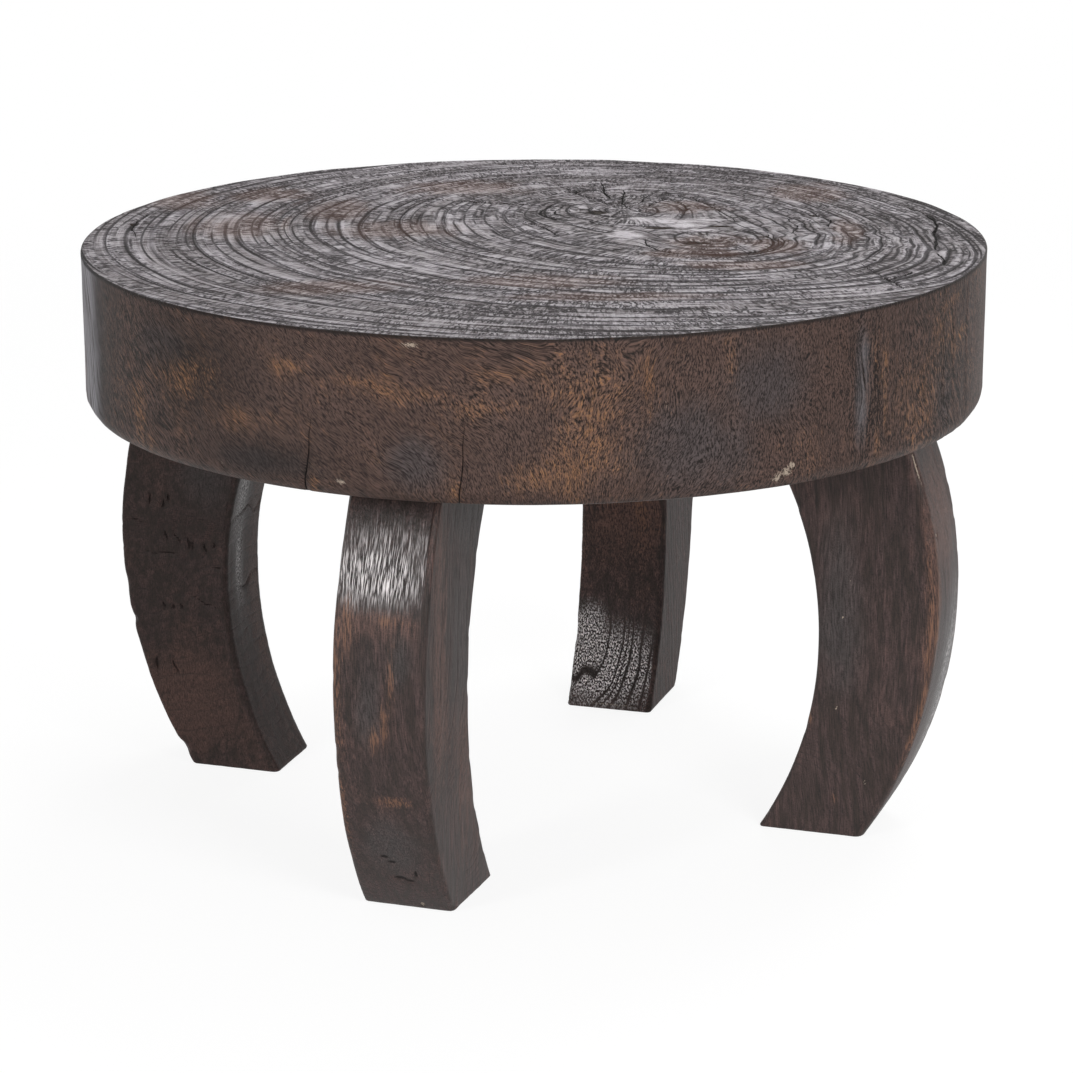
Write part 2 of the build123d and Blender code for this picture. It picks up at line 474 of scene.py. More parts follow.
# ======================================================================= the slab's side
# Marks on the side: bearing from the camera's right in degrees, height over the slab's
# underside, then half widths of both in millimetres
side_patches = {
    "ember": (
        (-146, 28, 12, 26), (-144, 12, 10, 14), (-116.6, 8, 4, 12), (-99.0, 8, 4, 14),
        (-105, 80, 55, 7), (-110, 86, 30, 6), (-96, 72, 30, 8), (-84, 60, 34, 55),
        (-86, 30, 22, 30), (-77, 88, 5, 30), (-43.5, 50, 3.0, 40), (-45, 22, 4, 20),
        (-28, 108, 25, 6), (-24, 80, 14, 6), (-136, 70, 40, 22), (-128, 50, 40, 12),
        (-120, 92, 16, 8), (-67, 96, 5, 18), (20, 60, 60, 25), (70, 40, 70, 30),
        (110, 80, 60, 20), (150, 50, 60, 30), (-170, 40, 10, 30), (40, 90, 50, 15),
        (-94, 96, 26, 10), (-90, 20, 30, 12), (-36, 40, 30, 40), (-30, 70, 24, 40),
    ),
    "ash": (
        (-160, 60, 26, 120), (-140, 90, 40, 20), (-71, 40, 60, 45), (-62, 80, 50, 40),
        (-48, 70, 9, 60), (-124, 20, 60, 14), (-104, 30, 26, 24), (-30, 50, 20, 50),
        (35, 40, 50, 60), (95, 60, 60, 40), (135, 30, 40, 30),
    ),
    "ribs": ((-171, 60, 36, 140), (-47, 60, 30, 90), (-26, 60, 50, 110), (62, 60, 50, 90)),
    "coarse": ((-150, 60, 130, 200), (-28, 60, 110, 200), (60, 60, 200, 200), (140, 60, 200, 200)),
    # darker patches, mostly on the left of the side as the camera sees it
    "darker_patch": ((-162, 60, 50, 140), (-134, 78, 50, 40), (-124, 22, 60, 16)),
    # pale grey streaks, strongest at the side's far left as the camera sees it
    "pale_streaked": ((-170, 64, 60, 200),),
    "faded": ((-47.6, 64, 12, 60), (-4, 50, 12, 110)),
    "pale": (
        (-104.2, 116, 9, 1.6), (-99, 113, 9, 1.5), (-90.6, 115, 8, 2.4), (-74.8, 72, 1.6, 2.4),
        (-59.4, 13, 6, 5), (-60.5, 9, 5, 4), (-58.5, 17, 4, 4), (-130, 11, 4, 1.6), (-113, 12, 5, 2.5),
    ),
}
faded_share = 0.27             # how strongly a faded place is bleached
# Open checks on the side: half width, depth, then bearing and height of the head and the foot
side_checks = (
    (0.7, 2.4, (-116.4, 62.0), (-118.2, -3.0)),
    (0.6, 2.2, (-97.7, 67.0), (-98.9, -3.0)),
    (0.8, 2.0, (52.0, 118.0), (50.0, 45.0)),
    (0.9, 3.0, (128.0, 60.0), (127.0, -3.0)),
    (0.7, 2.0, (16.0, 70.0), (15.5, -3.0)),
)
# How far the fibres lean: bearing, then millimetres to the left for each one up
fibre_leans = (
    (-180, 0.2), (-165, 0.3), (-150, 0.8), (-136, 1.1), (-122, 0.9), (-108, 1.1), (-98, 0.9),
    (-91, 0.45), (-84, 0.0), (-77, -0.4), (-69, -0.1), (-60, 0.0), (-40, 0.0), (-25, 0.5),
    (0, 0.3), (40, -0.5), (90, 0.6), (140, -0.4), (180, 0.2),
)
fibre_squash = 3.4             # how many times longer than wide a fleck is


def side_surface(bearing, height):
    """Inward depth and shading values of the side. bearing is in the frame, in degrees, and
    height is over the slab's underside."""
    seen = (bearing - math.degrees(camera_turn) + 180) % 360 - 180
    around = np.radians(bearing)
    x, y = slab_radius * np.cos(around), slab_radius * np.sin(around)

    def across_from(line):
        """How far round the side each point is from a bearing."""
        return np.radians((seen - line + 180) % 360 - 180) * slab_radius

    values = {}
    for kind, spots in side_patches.items():
        values[kind] = np.zeros(seen.shape)
        for at, up, wide, high in spots:
            spot = bump_at(across_from(at), height, 0, up, wide, high)
            values[kind] = np.maximum(values[kind], spot)
    values["pale_streaked"] = np.maximum(values["pale_streaked"], faded_share * values.pop("faded"))
    ribs = values["ribs"]
    depth = side_depth + 0.8 * noise(x / 110, y / 110, height / 90, seed=31)
    depth += 0.25 * noise(x / 16, y / 16, height / 40, seed=32)
    depth += ribs * 0.4 * (1 + noise(x / 5, y / 5, height / 120, seed=33))
    depth += 0.8 * values["pale"]
    away, open_width = np.full(seen.shape, check_reach), np.zeros(seen.shape)
    for half_width, deep, head, foot in side_checks:
        part = np.clip((height - head[1]) / (foot[1] - head[1]), 0, 1)
        off = across_from(head[0] + (foot[0] - head[0]) * part)
        off = off + 1.2 * noise(height / 11, seed=34) + np.maximum(height - head[1], 0)
        wide = half_width * part**0.6 * (height <= head[1])
        nearer = np.abs(off) < np.abs(away)
        away, open_width = np.where(nearer, off, away), np.where(nearer, wide, open_width)
        depth += deep * part**0.7 * np.clip(1 - np.abs(off) / (wide + 1.6), 0, 1)
    lean = np.interp(seen, *np.transpose(fibre_leans)) * (height - 0.45 * slab_thickness)
    lean += 9 * noise(x / 34, y / 34, height / 30, seed=35) * (1 - 0.7 * ribs)
    lean += 2.2 * noise(x / 9, y / 9, height / 14, seed=36)
    swung = around + lean / slab_radius
    up = (height + 5 * noise(x / 30, y / 30, height / 30, seed=37)) / fibre_squash
    values["fibre"] = np.stack([slab_radius * np.cos(swung), slab_radius * np.sin(swung), up], 1)
    values["check"] = away
    values["check_open"] = open_width * (1 - smooth(np.abs(away), 4.5, 6.5))
    return depth, values


def side_profile():
    """How far in and how far down each row of the side is: the worn upper rim, the upright
    side, then the eased lower rim."""
    upper = np.pi / 2 * np.arange(1, top_round_rows + 1) / top_round_rows
    lower = np.pi / 2 * np.arange(1, bottom_round_rows + 1) / bottom_round_rows
    low_end = slab_thickness - bottom_round
    upright = np.linspace(top_round, low_end, side_rows + 1)[1:]
    inward = (top_round * (1 - np.sin(upper)), 0 * upright, bottom_round * (1 - np.cos(lower)))
    drop = (top_round * (1 - np.cos(upper)), upright, low_end + bottom_round * np.sin(lower))
    return np.concatenate(inward), np.concatenate(drop)


def slab_shape(materials):
    """The slab: a relief grid for the top, rounded rims, the side, and an underside with the
    eight bores."""
    shell = Shell()
    line = np.linspace(-1, 1, top_cells + 1)
    a, b = [v.ravel() for v in np.meshgrid(line, line)]
    wide = np.abs(a) >= np.abs(b)
    with np.errstate(divide="ignore", invalid="ignore"):
        turn = np.nan_to_num(np.where(wide, np.pi / 4 * b / a, np.pi / 2 - np.pi / 4 * a / b))
    flat_radius = slab_radius - top_round
    reach = flat_radius * np.where(wide, a, b)
    x, y = settle_on_checks(reach * np.cos(turn), reach * np.sin(turn))
    height, values = top_surface(x, y)
    rim = smooth(np.hypot(x, y), flat_radius - rim_fade, flat_radius)
    height = np.minimum(height, 0.0) * (1 - 0.8 * rim) - top_sink
    height -= rim * 0.25 * (1 + noise(np.degrees(np.arctan2(y, x)) / 7, seed=61))
    points = np.column_stack([x, y, slab_top + height])
    grid = shell.add_row(points, **values).reshape(top_cells + 1, top_cells + 1)
    top_uv = top_uv_middle + points[:, :2] * top_uv_wide / (2 * slab_radius)
    shell.add_grid(grid, top_uv[grid], 0)

    # The side hangs from the grid's edge, walked anticlockwise.
    edge = np.concatenate([grid[0, :-1], grid[:-1, -1], grid[-1, :0:-1], grid[:0:-1, 0]])
    bearing = np.degrees(np.arctan2(points[edge, 1], points[edge, 0]))
    all_round = np.ones(bearing.shape)
    rim_values = side_surface(bearing, slab_thickness * all_round)[1]
    shell.set_values(edge, **{key: rim_values[key] for key in ("fibre", "ash", "ribs")})
    rows = [edge]
    inward, drops = side_profile()
    for inset, drop in zip(inward, drops):
        depth, values = side_surface(bearing, (slab_thickness - drop) * all_round)
        near_top = 1 - smooth(drop, 0, 12)
        near_floor = smooth(drop, slab_thickness - 4, slab_thickness)
        radius = slab_radius - inset - depth * (1 - 0.6 * near_top)
        beside_check = (np.abs(values["check"]) < side_settle) & (values["check_open"] > 0.2)
        settle = np.where(beside_check, values["check"], 0.0)
        settled = np.radians(bearing) - settle / slab_radius
        z = slab_top - drop + height[edge] * near_top
        z = z * (1 - near_floor) + leg_height * near_floor
        values["check"] = values["check"] - settle
        values["ring"] = values["octave"] = 0 * all_round
        ring_points = np.column_stack([radius * np.cos(settled), radius * np.sin(settled), z])
        rows.append(shell.add_row(ring_points, **values))
    add_side_faces(shell, closed(rows), np.concatenate([[0.0], drops]))
    add_underside(shell, rows[-1])
    return shell.build("slab", materials)


def settle_on_checks(x, y):
    """Moves grid points that are beside an open check onto its line, so it cuts cleanly."""
    step = 0.4
    seen_x, seen_y = camera_plan(x, y)
    away, open_width, _ = nearest_check(seen_x, seen_y)
    slope_x = (nearest_check(seen_x + step, seen_y)[0] - away) / step
    slope_y = (nearest_check(seen_x, seen_y + step)[0] - away) / step
    steep = np.maximum(slope_x**2 + slope_y**2, 0.3)
    close = (np.abs(away) < top_settle) & (open_width > 0.25)
    move = np.where(close, away, 0.0) / steep
    move_x, move_y = frame_plan(-move * slope_x, -move * slope_y)
    limit = np.minimum(1.0, 1.2 / np.maximum(np.hypot(move_x, move_y), 1e-6))
    inner = np.hypot(x, y) < slab_radius - top_round - 6
    return x + move_x * limit * inner, y + move_y * limit * inner


def add_side_faces(shell, rows, drops):
    """The side's quads, unrolled for their texture into four strips: two under the top's
    square and two beside it."""
    columns = (rows.shape[1] - 1) // 4
    along = np.arange(columns + 1) / columns * strip_uv_long + strip_uv_margin
    for strip in range(4):
        start = strip_uv_start + (strip % 2) * strip_uv_pitch
        across = drops / slab_thickness * strip_uv_wide + start
        uv = np.stack(np.meshgrid(along, across), -1)
        if strip >= 2:
            uv = uv[..., ::-1]
        part = rows[:, strip * columns : (strip + 1) * columns + 1]
        shell.add_grid(part.T, uv.swapaxes(0, 1), 1)


def add_underside(shell, edge):
    """The sawn underside, with the bores that take the dowels."""
    outline = np.concatenate(shell.points)[edge, :2]
    bores = []
    for number, centre in enumerate(dowel_centres.values()):
        corner = slab_bore_uv + slab_bore_uv_pitch * np.array([number % 4, number // 4])
        floor = leg_height + bore_depth
        bores.append(add_bore(shell, centre, leg_height, floor, corner, slab_bore_uv_scale, 2))

    def dowel_gap(x, y):
        """How far plan positions are from the nearest dowel's middle."""
        return np.min([np.hypot(x - at[0], y - at[1]) for at in dowel_centres.values()], axis=0)

    spread = np.arange(-slab_radius, slab_radius, underside_step)
    x, y = [v.ravel() for v in np.meshgrid(spread, spread)]
    x = x + 3 * noise(x / 9, y / 9, seed=71)
    y = y + 3 * noise(x / 9, y / 9, seed=72)
    free = (np.hypot(x, y) < slab_radius - bottom_round - 9) & (dowel_gap(x, y) > bore_radius + 5)
    x, y = x[free], y[free]
    bearing = np.arctan2(y, x)
    hollow = 0.7 + 0.7 * noise(np.hypot(x, y) / 40, np.cos(bearing) * 2, np.sin(bearing) * 2, seed=73)
    z = leg_height + hollow * smooth(dowel_gap(x, y), 75, 110)

    def uv_of(spot):
        return underside_uv_middle + spot * underside_uv_wide / (2 * slab_radius)

    flat_cap(shell, (edge, outline), bores, np.column_stack([x, y, z]), False, uv_of, 2)


# ======================================================================= legs
class LegLines:
    """A packed leg's directions, width and two curved faces, read from its mesh."""

    def __init__(self, node):
        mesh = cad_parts[node].data
        points = np.array([v.co for v in mesh.vertices]) / MM
        middles = np.array([face.center for face in mesh.polygons])
        normals = np.array([face.normal for face in mesh.polygons])
        areas = np.array([face.area for face in mesh.polygons])
        centre = areas @ middles
        self.outward = centre[:2] / math.hypot(centre[0], centre[1])
        self.across = np.array([-self.outward[1], self.outward[0]])
        self.width = 2 * np.abs(points[:, :2] @ self.across).max()
        reach, side = normals[:, :2] @ self.outward, normals[:, :2] @ self.across
        bowed = (np.abs(side) < 0.02) & (np.abs(normals[:, 2]) < 0.7)
        self.outer = self.circle(mesh, points, bowed & (reach > 0))
        self.inner = self.circle(mesh, points, bowed & (reach < 0))

    def circle(self, mesh, points, chosen):
        """The circle that a curved face follows: (centre out, centre up, radius)."""
        numbers = sorted({v for k in np.flatnonzero(chosen) for v in mesh.polygons[k].vertices})
        numbers = [k for k in numbers if abs(points[k, :2] @ self.across) > 0.4 * self.width]
        out, up = points[numbers, :2] @ self.outward, points[numbers, 2]
        rows = np.column_stack([2 * out, 2 * up, np.ones(len(out))])
        (centre_out, centre_up, rest), *_ = np.linalg.lstsq(rows, out**2 + up**2, rcond=None)
        return centre_out, centre_up, math.sqrt(rest + centre_out**2 + centre_up**2)

    def reach(self, face, height):
        """How far from the table's axis a curved face is at this height."""
        centre_out, centre_up, radius = getattr(self, face)
        return centre_out + np.sqrt(radius**2 - (height - centre_up) ** 2)


def leg_section(lines, height, arris):
    """One level section of a leg, walked anticlockwise from above: how far out and how far
    to the side each point is, both parts of its outward direction, and its face's number."""
    rounds = []
    for number, (out_sign, side_sign) in enumerate(((1, -1), (1, 1), (-1, 1), (-1, -1))):
        edge_out = lines.reach("outer" if out_sign > 0 else "inner", height)
        radius = arris[number]
        middle = (edge_out - out_sign * radius, side_sign * (lines.width / 2 - radius))
        turn = math.radians(270 + 90 * number) + np.linspace(0, np.pi / 2, leg_corner_columns + 1)
        outward = np.column_stack([np.cos(turn), np.sin(turn)])
        rounds.append(np.column_stack([middle + radius * outward, outward]))
    section = []
    for number, columns in enumerate(leg_face_columns):
        begin, end = rounds[number][-1], rounds[(number + 1) % 4][0]
        share = np.arange(1, columns)[:, None] / columns
        section += [rounds[number], begin + (end - begin) * share]
    face = np.repeat(range(4), np.array(leg_face_columns) + leg_corner_columns)
    return *np.concatenate(section).T, face


def run_shares(places):
    """How far along a line each of its places is, as a share of the whole."""
    steps = np.hypot(*np.diff(places, axis=0).T)
    return np.concatenate([[0.0], np.cumsum(steps)]) / steps.sum()


def leg_shape(place, style, materials):
    """A leg: its packed curves, worn and cut by hand, with two bores in its top."""
    lines = LegLines(f"leg_{place}")
    heights = np.linspace(0, leg_height, leg_rows + 1)
    heights[1] = sole_row
    shell, rows = Shell(), []
    for height in heights:
        arris = [
            leg_arris + noise(height / 23, k * 5.5, seed=style["seed"]) + worn
            for k, worn in enumerate(style["worn"])
        ]
        reach, side, out, across, face = leg_section(lines, height, arris)
        depth, nick, values = leg_surface(style, reach, side, face, height)
        if height == 0:
            depth = depth + sole_ease
        depth = depth * (1 - 0.6 * smooth(height, leg_height - leg_top_fade, leg_height))
        reach = reach - depth * out - nick[0]
        side = side - depth * across - nick[1]
        plan = reach[:, None] * lines.outward + side[:, None] * lines.across
        rows.append(shell.add_row(np.column_stack([plan, np.full(len(plan), height)]), **values))
    wall = closed(rows)
    points = np.concatenate(shell.points)
    middle_reach = (lines.reach("outer", heights) + lines.reach("inner", heights)) / 2
    u = run_shares(points[wall[0], :2]) * wall_uv_wide + wall_uv_margin
    v = run_shares(np.column_stack([middle_reach, heights])) * wall_uv_high + wall_uv_margin
    shell.add_grid(wall, np.stack(np.meshgrid(u, v), -1), 0)

    top_bores = []
    for number, side in enumerate(dowel_sides):
        corner = leg_bore_uv + leg_bore_uv_pitch * np.array([0, number])
        centre = dowel_centres[place, side]
        floor = leg_height - bore_depth
        top_bores.append(add_bore(shell, centre, leg_height, floor, corner, leg_bore_uv_scale, 1))
    for edge, bores, facing_up, corner in (
        (rows[0], [], False, sole_uv_middle),
        (rows[-1], top_bores, True, leg_top_uv_middle),
    ):
        outline = points[edge, :2]

        def uv_of(spot, middle=outline.mean(0), corner=corner):
            rel = spot - middle
            return corner + np.array([rel @ lines.across, rel @ lines.outward]) * cap_uv_scale

        flat_cap(shell, (edge, outline), bores, [], facing_up, uv_of, 1)
    return shell.build(f"{place}_leg", materials)


# What each kind of mark on a leg adds to, and how strongly
mark_layers = {
    # gloss and sheen marks also paint glints into the leg's colour, a painted highlight
    "gloss_and_glint": ("gloss_and_glint", 1.0),
    "sheen": ("gloss_and_glint", 0.55),
    "ember": ("ember", 1.0),
    "edge": ("ember", 1.0),
    "tint": ("tint", 1.0),
    "ash": ("ash", 1.0),
    "check": ("check_open", 0.9),
    "scratch": ("check_open", 0.66),
    "seam": ("check_open", 0.58),
    "chip": ("pale", 1.0),
    "hollow": ("hollow", 1.0),
}


def leg_surface(style, reach, side, face, height):
    """Inward depth, the nicks in the long edges, and shading values round one section."""
    seed = style["seed"]
    up = np.full(reach.shape, height)
    outer, inner, half = reach.max(), reach.min(), np.abs(side).max()

    def wobble(size, tall, number):
        return noise(reach / size, side / size, up / tall, seed=seed + number)

    grain_out = reach - style["heart"][0] + style["tilt"][0] * up + 6 * wobble(60, 90, 1)
    grain_side = side - style["heart"][1] + style["tilt"][1] * up + 6 * wobble(60, 90, 2)
    if style["cross_grain"]:
        ring = (up + 0.30 * (reach - 250) + 10 * wobble(45, 80, 3)) / 11
    else:
        ring = np.hypot(grain_out, grain_side) / style["ring_width"]
    along_face = (side, reach, side, reach)
    for on_face, at_along, at_up, squash, high, clear in style["swirls"]:
        # A knot just under the surface pulls the rings into arches round a clear middle.
        rise = (up - at_up) * np.where(up > at_up, 0.6 * squash, squash)
        arches = np.hypot(along_face[on_face] - at_along, rise) / style["ring_width"]
        weight = np.exp(-(((up - at_up) / high) ** 4)) * (face == on_face)
        ring = ring * (1 - weight) + np.maximum(arches, clear + 0.45) * weight
    ring = ring + 0.5 * noise(ring * 0.8, seed=seed + 4)
    ring = ring + 0.22 * noise(grain_out / 12, grain_side / 12, up / 26, seed=seed + 10)
    groove = np.exp(-(((ring - np.round(ring)) / 0.16) ** 2))
    depth = leg_depth + 0.55 * wobble(55, 70, 5)
    depth += 0.12 * groove * style["ring_relief"] + 0.15 * wobble(6, 30, 6)
    values = {layer: np.zeros(reach.shape) for layer, _ in mark_layers.values()}
    for kind, spots in style["marks"].items():
        layer, strength = mark_layers[kind]
        for on_face, at_along, at_up, wide, high in spots:
            along, rise, here = along_face[on_face] - at_along, up - at_up, face == on_face
            if kind == "scratch":
                along = along + 3.5 * noise(up / 8, at_along, seed=seed + 9)
            elif kind == "seam":
                rise = rise + 6.0 * noise(along_face[on_face] / 16, at_up, seed=seed + 9)
            elif kind == "edge":
                edge_out = outer if on_face < 2 else inner
                edge_side = half if on_face in (1, 2) else -half
                along, here = np.hypot(reach - edge_out, side - edge_side) - at_along, 1
            mark = strength * np.exp(-((along / wide) ** 2) - (rise / high) ** 2) * here
            values[layer] = np.maximum(values[layer], mark)
    ridges = noise(side / 2.6, reach / 2.6, up / 26, seed=seed + 7)
    depth += 0.45 * values["gloss_and_glint"] * (ridges + 0.4) + 2.5 * values.pop("hollow")
    depth += 1.6 * values["check_open"] + 1.2 * values["pale"]

    corner_gap = np.maximum(np.minimum(outer - reach, reach - inner), half - np.abs(side))
    outward, sideward = np.where(reach > (outer + inner) / 2, 1.0, -1.0), np.sign(side)
    nick = 0.5 * smooth(noise(up / 14, outward + 3 * sideward, seed=seed + 8), 0.35, 0.95)
    corner = np.where(outward > 0, np.where(side < 0, 0, 1), np.where(side > 0, 2, 3))
    for on_corner, at_up, high, cut in style["notches"]:
        nick = nick + cut * np.exp(-(((up - at_up) / high) ** 2)) * (corner == on_corner)
    nick = nick * (1 - smooth(corner_gap, 1, 8))
    values["grain"] = np.stack([grain_out, grain_side, up], 1)
    values["ring"] = ring
    values["arris"] = np.clip(1 - corner_gap / 9, 0, 1)
    return depth, (nick * outward, nick * sideward), values


# How the legs differ. A heart is the middle of a leg's rings: how far it is from the table's
# axis and to the side, with the tilt as what is added for each millimetre up. Faces are
# numbered outer 0, left 1, inner 2, right 3, and along a side face is the reach. Long edges
# are numbered outer right 0, outer left 1, inner left 2, inner right 3; worn is how much
# rounder than the rest each one is.
# Swirls are (face, along, height, squash, half height, clear rings): a squash under 1 draws
# the arches out upward. Notches are (long edge, height, half height, depth).
# Marks are (face, along, height, half width, half height). An edge mark has a long edge in
# place of the face, and how far from it. A gloss mark smooths the wood and paints bright glints
# over a darkened ground into its colour, a painted highlight; a sheen is a weaker gloss. A
# scratch is a check that wanders sideways as it runs up, and a seam is one that wanders up as it
# runs along.
leg_styles = {
    "front": dict(
        seed=100, worn=(0.4, 0.4, 1.0, 1.0),
        heart=(215.0, -55.0), tilt=(0.10, 0.06), ring_width=9.0, ring_relief=0.7, cross_grain=False,
        strand_contrast=0.85, burnt=0.10, glint_on_ring_lines=0.8, pebble_size=0.8, pebble_stretch=20.0, ior=1.42,
        swirls=((1, 258, 62, 0.32, 60, 0), (0, 8, 34, 0.9, 26, 0)),
        notches=((0, 120, 3, 0.5), (1, 4, 4, 1.0), (3, 34, 5, 0.8)),
        marks={
            "gloss_and_glint": ((0, -8, 271, 44, 23),),
            "sheen": ((0, 0, 288, 60, 26),),
            "hollow": ((0, 0, 330, 80, 60),),
            "ember": (
                (0, -27, 238, 8, 34), (0, 10, 196, 4, 26), (0, 4, 165, 4, 20), (0, -4, 150, 5, 12),
                (0, 8, 100, 16, 6), (0, 6, 240, 16, 6),
            ),
            "edge": ((0, 3, 190, 6, 70), (0, 3, 90, 4, 40)),
            "tint": ((0, 0, 238, 40, 12), (1, 240, 120, 50, 60), (1, 314, 205, 16, 110)),
            "ash": (
                (0, -8, 178, 14, 40), (1, 270, 210, 40, 90), (1, 240, 290, 60, 30),
                (0, 16, 210, 12, 30), (0, 0, 60, 30, 30),
            ),
            "check": (
                (0, -8, 50, 5, 1.6), (0, -3, 45, 5, 1.6), (0, 1, 31, 7, 1.6), (0, 8, 28, 6, 1.5),
                (0, 14, 36, 1.6, 4),
            ),
            "chip": ((0, 12, 5, 2.5, 2.5),),
        },
    ),
    "left": dict(
        seed=200, worn=(0.5, 0.5, 1.5, 5.5),
        heart=(150.0, 0.0), tilt=(0.0, 0.0), ring_width=12.0, ring_relief=1.0, cross_grain=True,
        strand_contrast=0.6, burnt=0.34, glint_on_ring_lines=0.8, pebble_size=1.4, pebble_stretch=1.6, ior=1.30,
        swirls=((1, 284, 236, 0.8, 34, 0),),
        notches=((1, 122, 3, 1.8), (1, 150, 10, 0.8), (1, 14, 5, 2.6), (1, 250, 12, 0.6)),
        marks={
            "sheen": ((2, 18, 250, 15, 70), (2, 12, 175, 9, 50)),
            "tint": ((2, -22, 200, 14, 140), (1, 300, 60, 60, 50)),
            "ash": ((1, 270, 250, 30, 40),),
            "edge": ((2, 4, 290, 4, 30),),
            "ember": ((1, 290, 265, 14, 5), (1, 225, 150, 5, 5)),
            "scratch": (
                (1, 322, 228, 2.1, 10), (1, 312, 224, 2.1, 7), (1, 304, 229, 2.1, 7),
                (1, 309, 197, 2.1, 8), (1, 298, 195, 2.1, 9), (1, 291, 192, 2.1, 10),
                (1, 283, 190, 2.1, 9), (1, 275, 189, 2.1, 9), (1, 267, 192, 2.1, 5),
                (1, 314, 137, 2.1, 6), (1, 306, 136, 2.1, 5), (1, 298, 137, 2.1, 5),
                (1, 317, 86, 2.1, 12), (1, 304, 84, 2.1, 11),
            ),
            "seam": (
                (1, 312, 181, 36, 1.9), (1, 334, 205, 14, 1.9), (1, 262, 172, 14, 1.9),
                (1, 276, 142, 30, 1.9), (2, 0, 212, 40, 1.9), (2, 5, 152, 40, 1.9),
            ),
        },
    ),
    "back": dict(
        seed=300, worn=(0.6, 0.6, 0.4, 0.4),
        heart=(150.0, -40.0), tilt=(0.16, -0.10), ring_width=7.5, ring_relief=1.6, cross_grain=False,
        strand_contrast=1.1, burnt=0.0, glint_on_ring_lines=0.0, pebble_size=1.35, pebble_stretch=1.3, ior=1.30,
        swirls=((2, 42, 62, 0.55, 95, 4.0),),
        notches=((2, 60, 10, 0.8), (3, 6, 5, 1.0)),
        marks={
            "gloss_and_glint": ((2, 6, 34, 54, 34), (2, 26, 60, 18, 24)),
            "tint": (
                (2, 14, 240, 9, 90), (2, -14, 270, 9, 80), (2, 4, 180, 34, 60), (2, 0, 250, 60, 120),
                (1, 230, 120, 40, 80),
            ),
            "chip": ((2, 0, 3, 40, 1.2),),
            "ember": ((2, 4, 270, 30, 80), (2, -16, 200, 9, 60)),
            "edge": ((2, 30, 260, 3, 60),),
            "ash": ((1, 290, 240, 30, 80),),
        },
    ),
    "right": dict(
        seed=400, worn=(1.8, 0.4, 0.4, 0.8),
        heart=(190.0, 50.0), tilt=(0.05, 0.04), ring_width=9.0, ring_relief=0.5, cross_grain=False,
        strand_contrast=0.70, burnt=0.0, glint_on_ring_lines=0.5, pebble_size=1.5, pebble_stretch=3.0, ior=1.42,
        swirls=((3, 230, 20, 0.4, 60, 0),),
        notches=((3, 8, 5, 1.2), (0, 300, 8, 0.8)),
        marks={
            "edge": ((0, 5, 190, 6, 85), (0, 3, 105, 4, 60)),
            "tint": ((0, 0, 265, 40, 60),),
            "ember": (
                (3, 215, 235, 10, 16), (3, 240, 95, 4, 8), (3, 225, 130, 6, 16), (3, 262, 30, 3, 6),
            ),
            "sheen": ((0, 24, 120, 22, 90),),
            "ash": ((3, 262, 180, 26, 90), (0, 0, 150, 40, 70)),
            "chip": (
                (0, -35, 306, 1.6, 18), (3, 272, 210, 1.2, 1.2), (3, 266, 180, 1.0, 1.6),
                (3, 262, 106, 1.0, 4), (0, -26, 250, 2, 2), (0, -34, 290, 1.0, 5),
                (0, -34, 272, 0.8, 4), (3, 286, 46, 1.0, 3),
            ),
        },
    ),
}


# ======================================================================= shading
class Value:
    """A node's output, so that shading can be written as arithmetic."""

    def __init__(self, nodes, socket):
        self.nodes, self.socket = nodes, socket

    def __add__(self, other):
        return self.nodes.math("ADD", self, other)

    def __sub__(self, other):
        return self.nodes.math("SUBTRACT", self, other)

    def __rsub__(self, other):
        return self.nodes.math("SUBTRACT", other, self)

    def __mul__(self, other):
        return self.nodes.math("MULTIPLY", self, other)

    def __truediv__(self, other):
        return self.nodes.math("DIVIDE", self, other)

    def __abs__(self):
        return self.nodes.math("ABSOLUTE", self)

    def larger(self, other):
        return self.nodes.math("MAXIMUM", self, other)

    def smaller(self, other):
        return self.nodes.math("MINIMUM", self, other)


class Nodes:
    """Adds nodes to a tree and links them."""

    def __init__(self, tree):
        self.tree = tree

    def node(self, kind, inputs, output=0, **settings):
        made = self.tree.nodes.new(kind)
        for key, setting in settings.items():
            setattr(made, key, setting)
        for key, value in inputs.items():
            self.plug(made.inputs[key], value)
        return Value(self, made.outputs[output])

    def plug(self, socket, value):
        if isinstance(value, Value):
            self.tree.links.new(value.socket, socket)
        else:
            socket.default_value = value

    def math(self, operation, *values):
        return self.node("ShaderNodeMath", dict(enumerate(values)), operation=operation)

    def light_path(self, question):
        return self.node("ShaderNodeLightPath", {}, question)

    def mix(self, factor, first, second):
        """One number where factor is 0, another where it is 1."""
        return self.node("ShaderNodeMix", {0: factor, 2: first, 3: second})


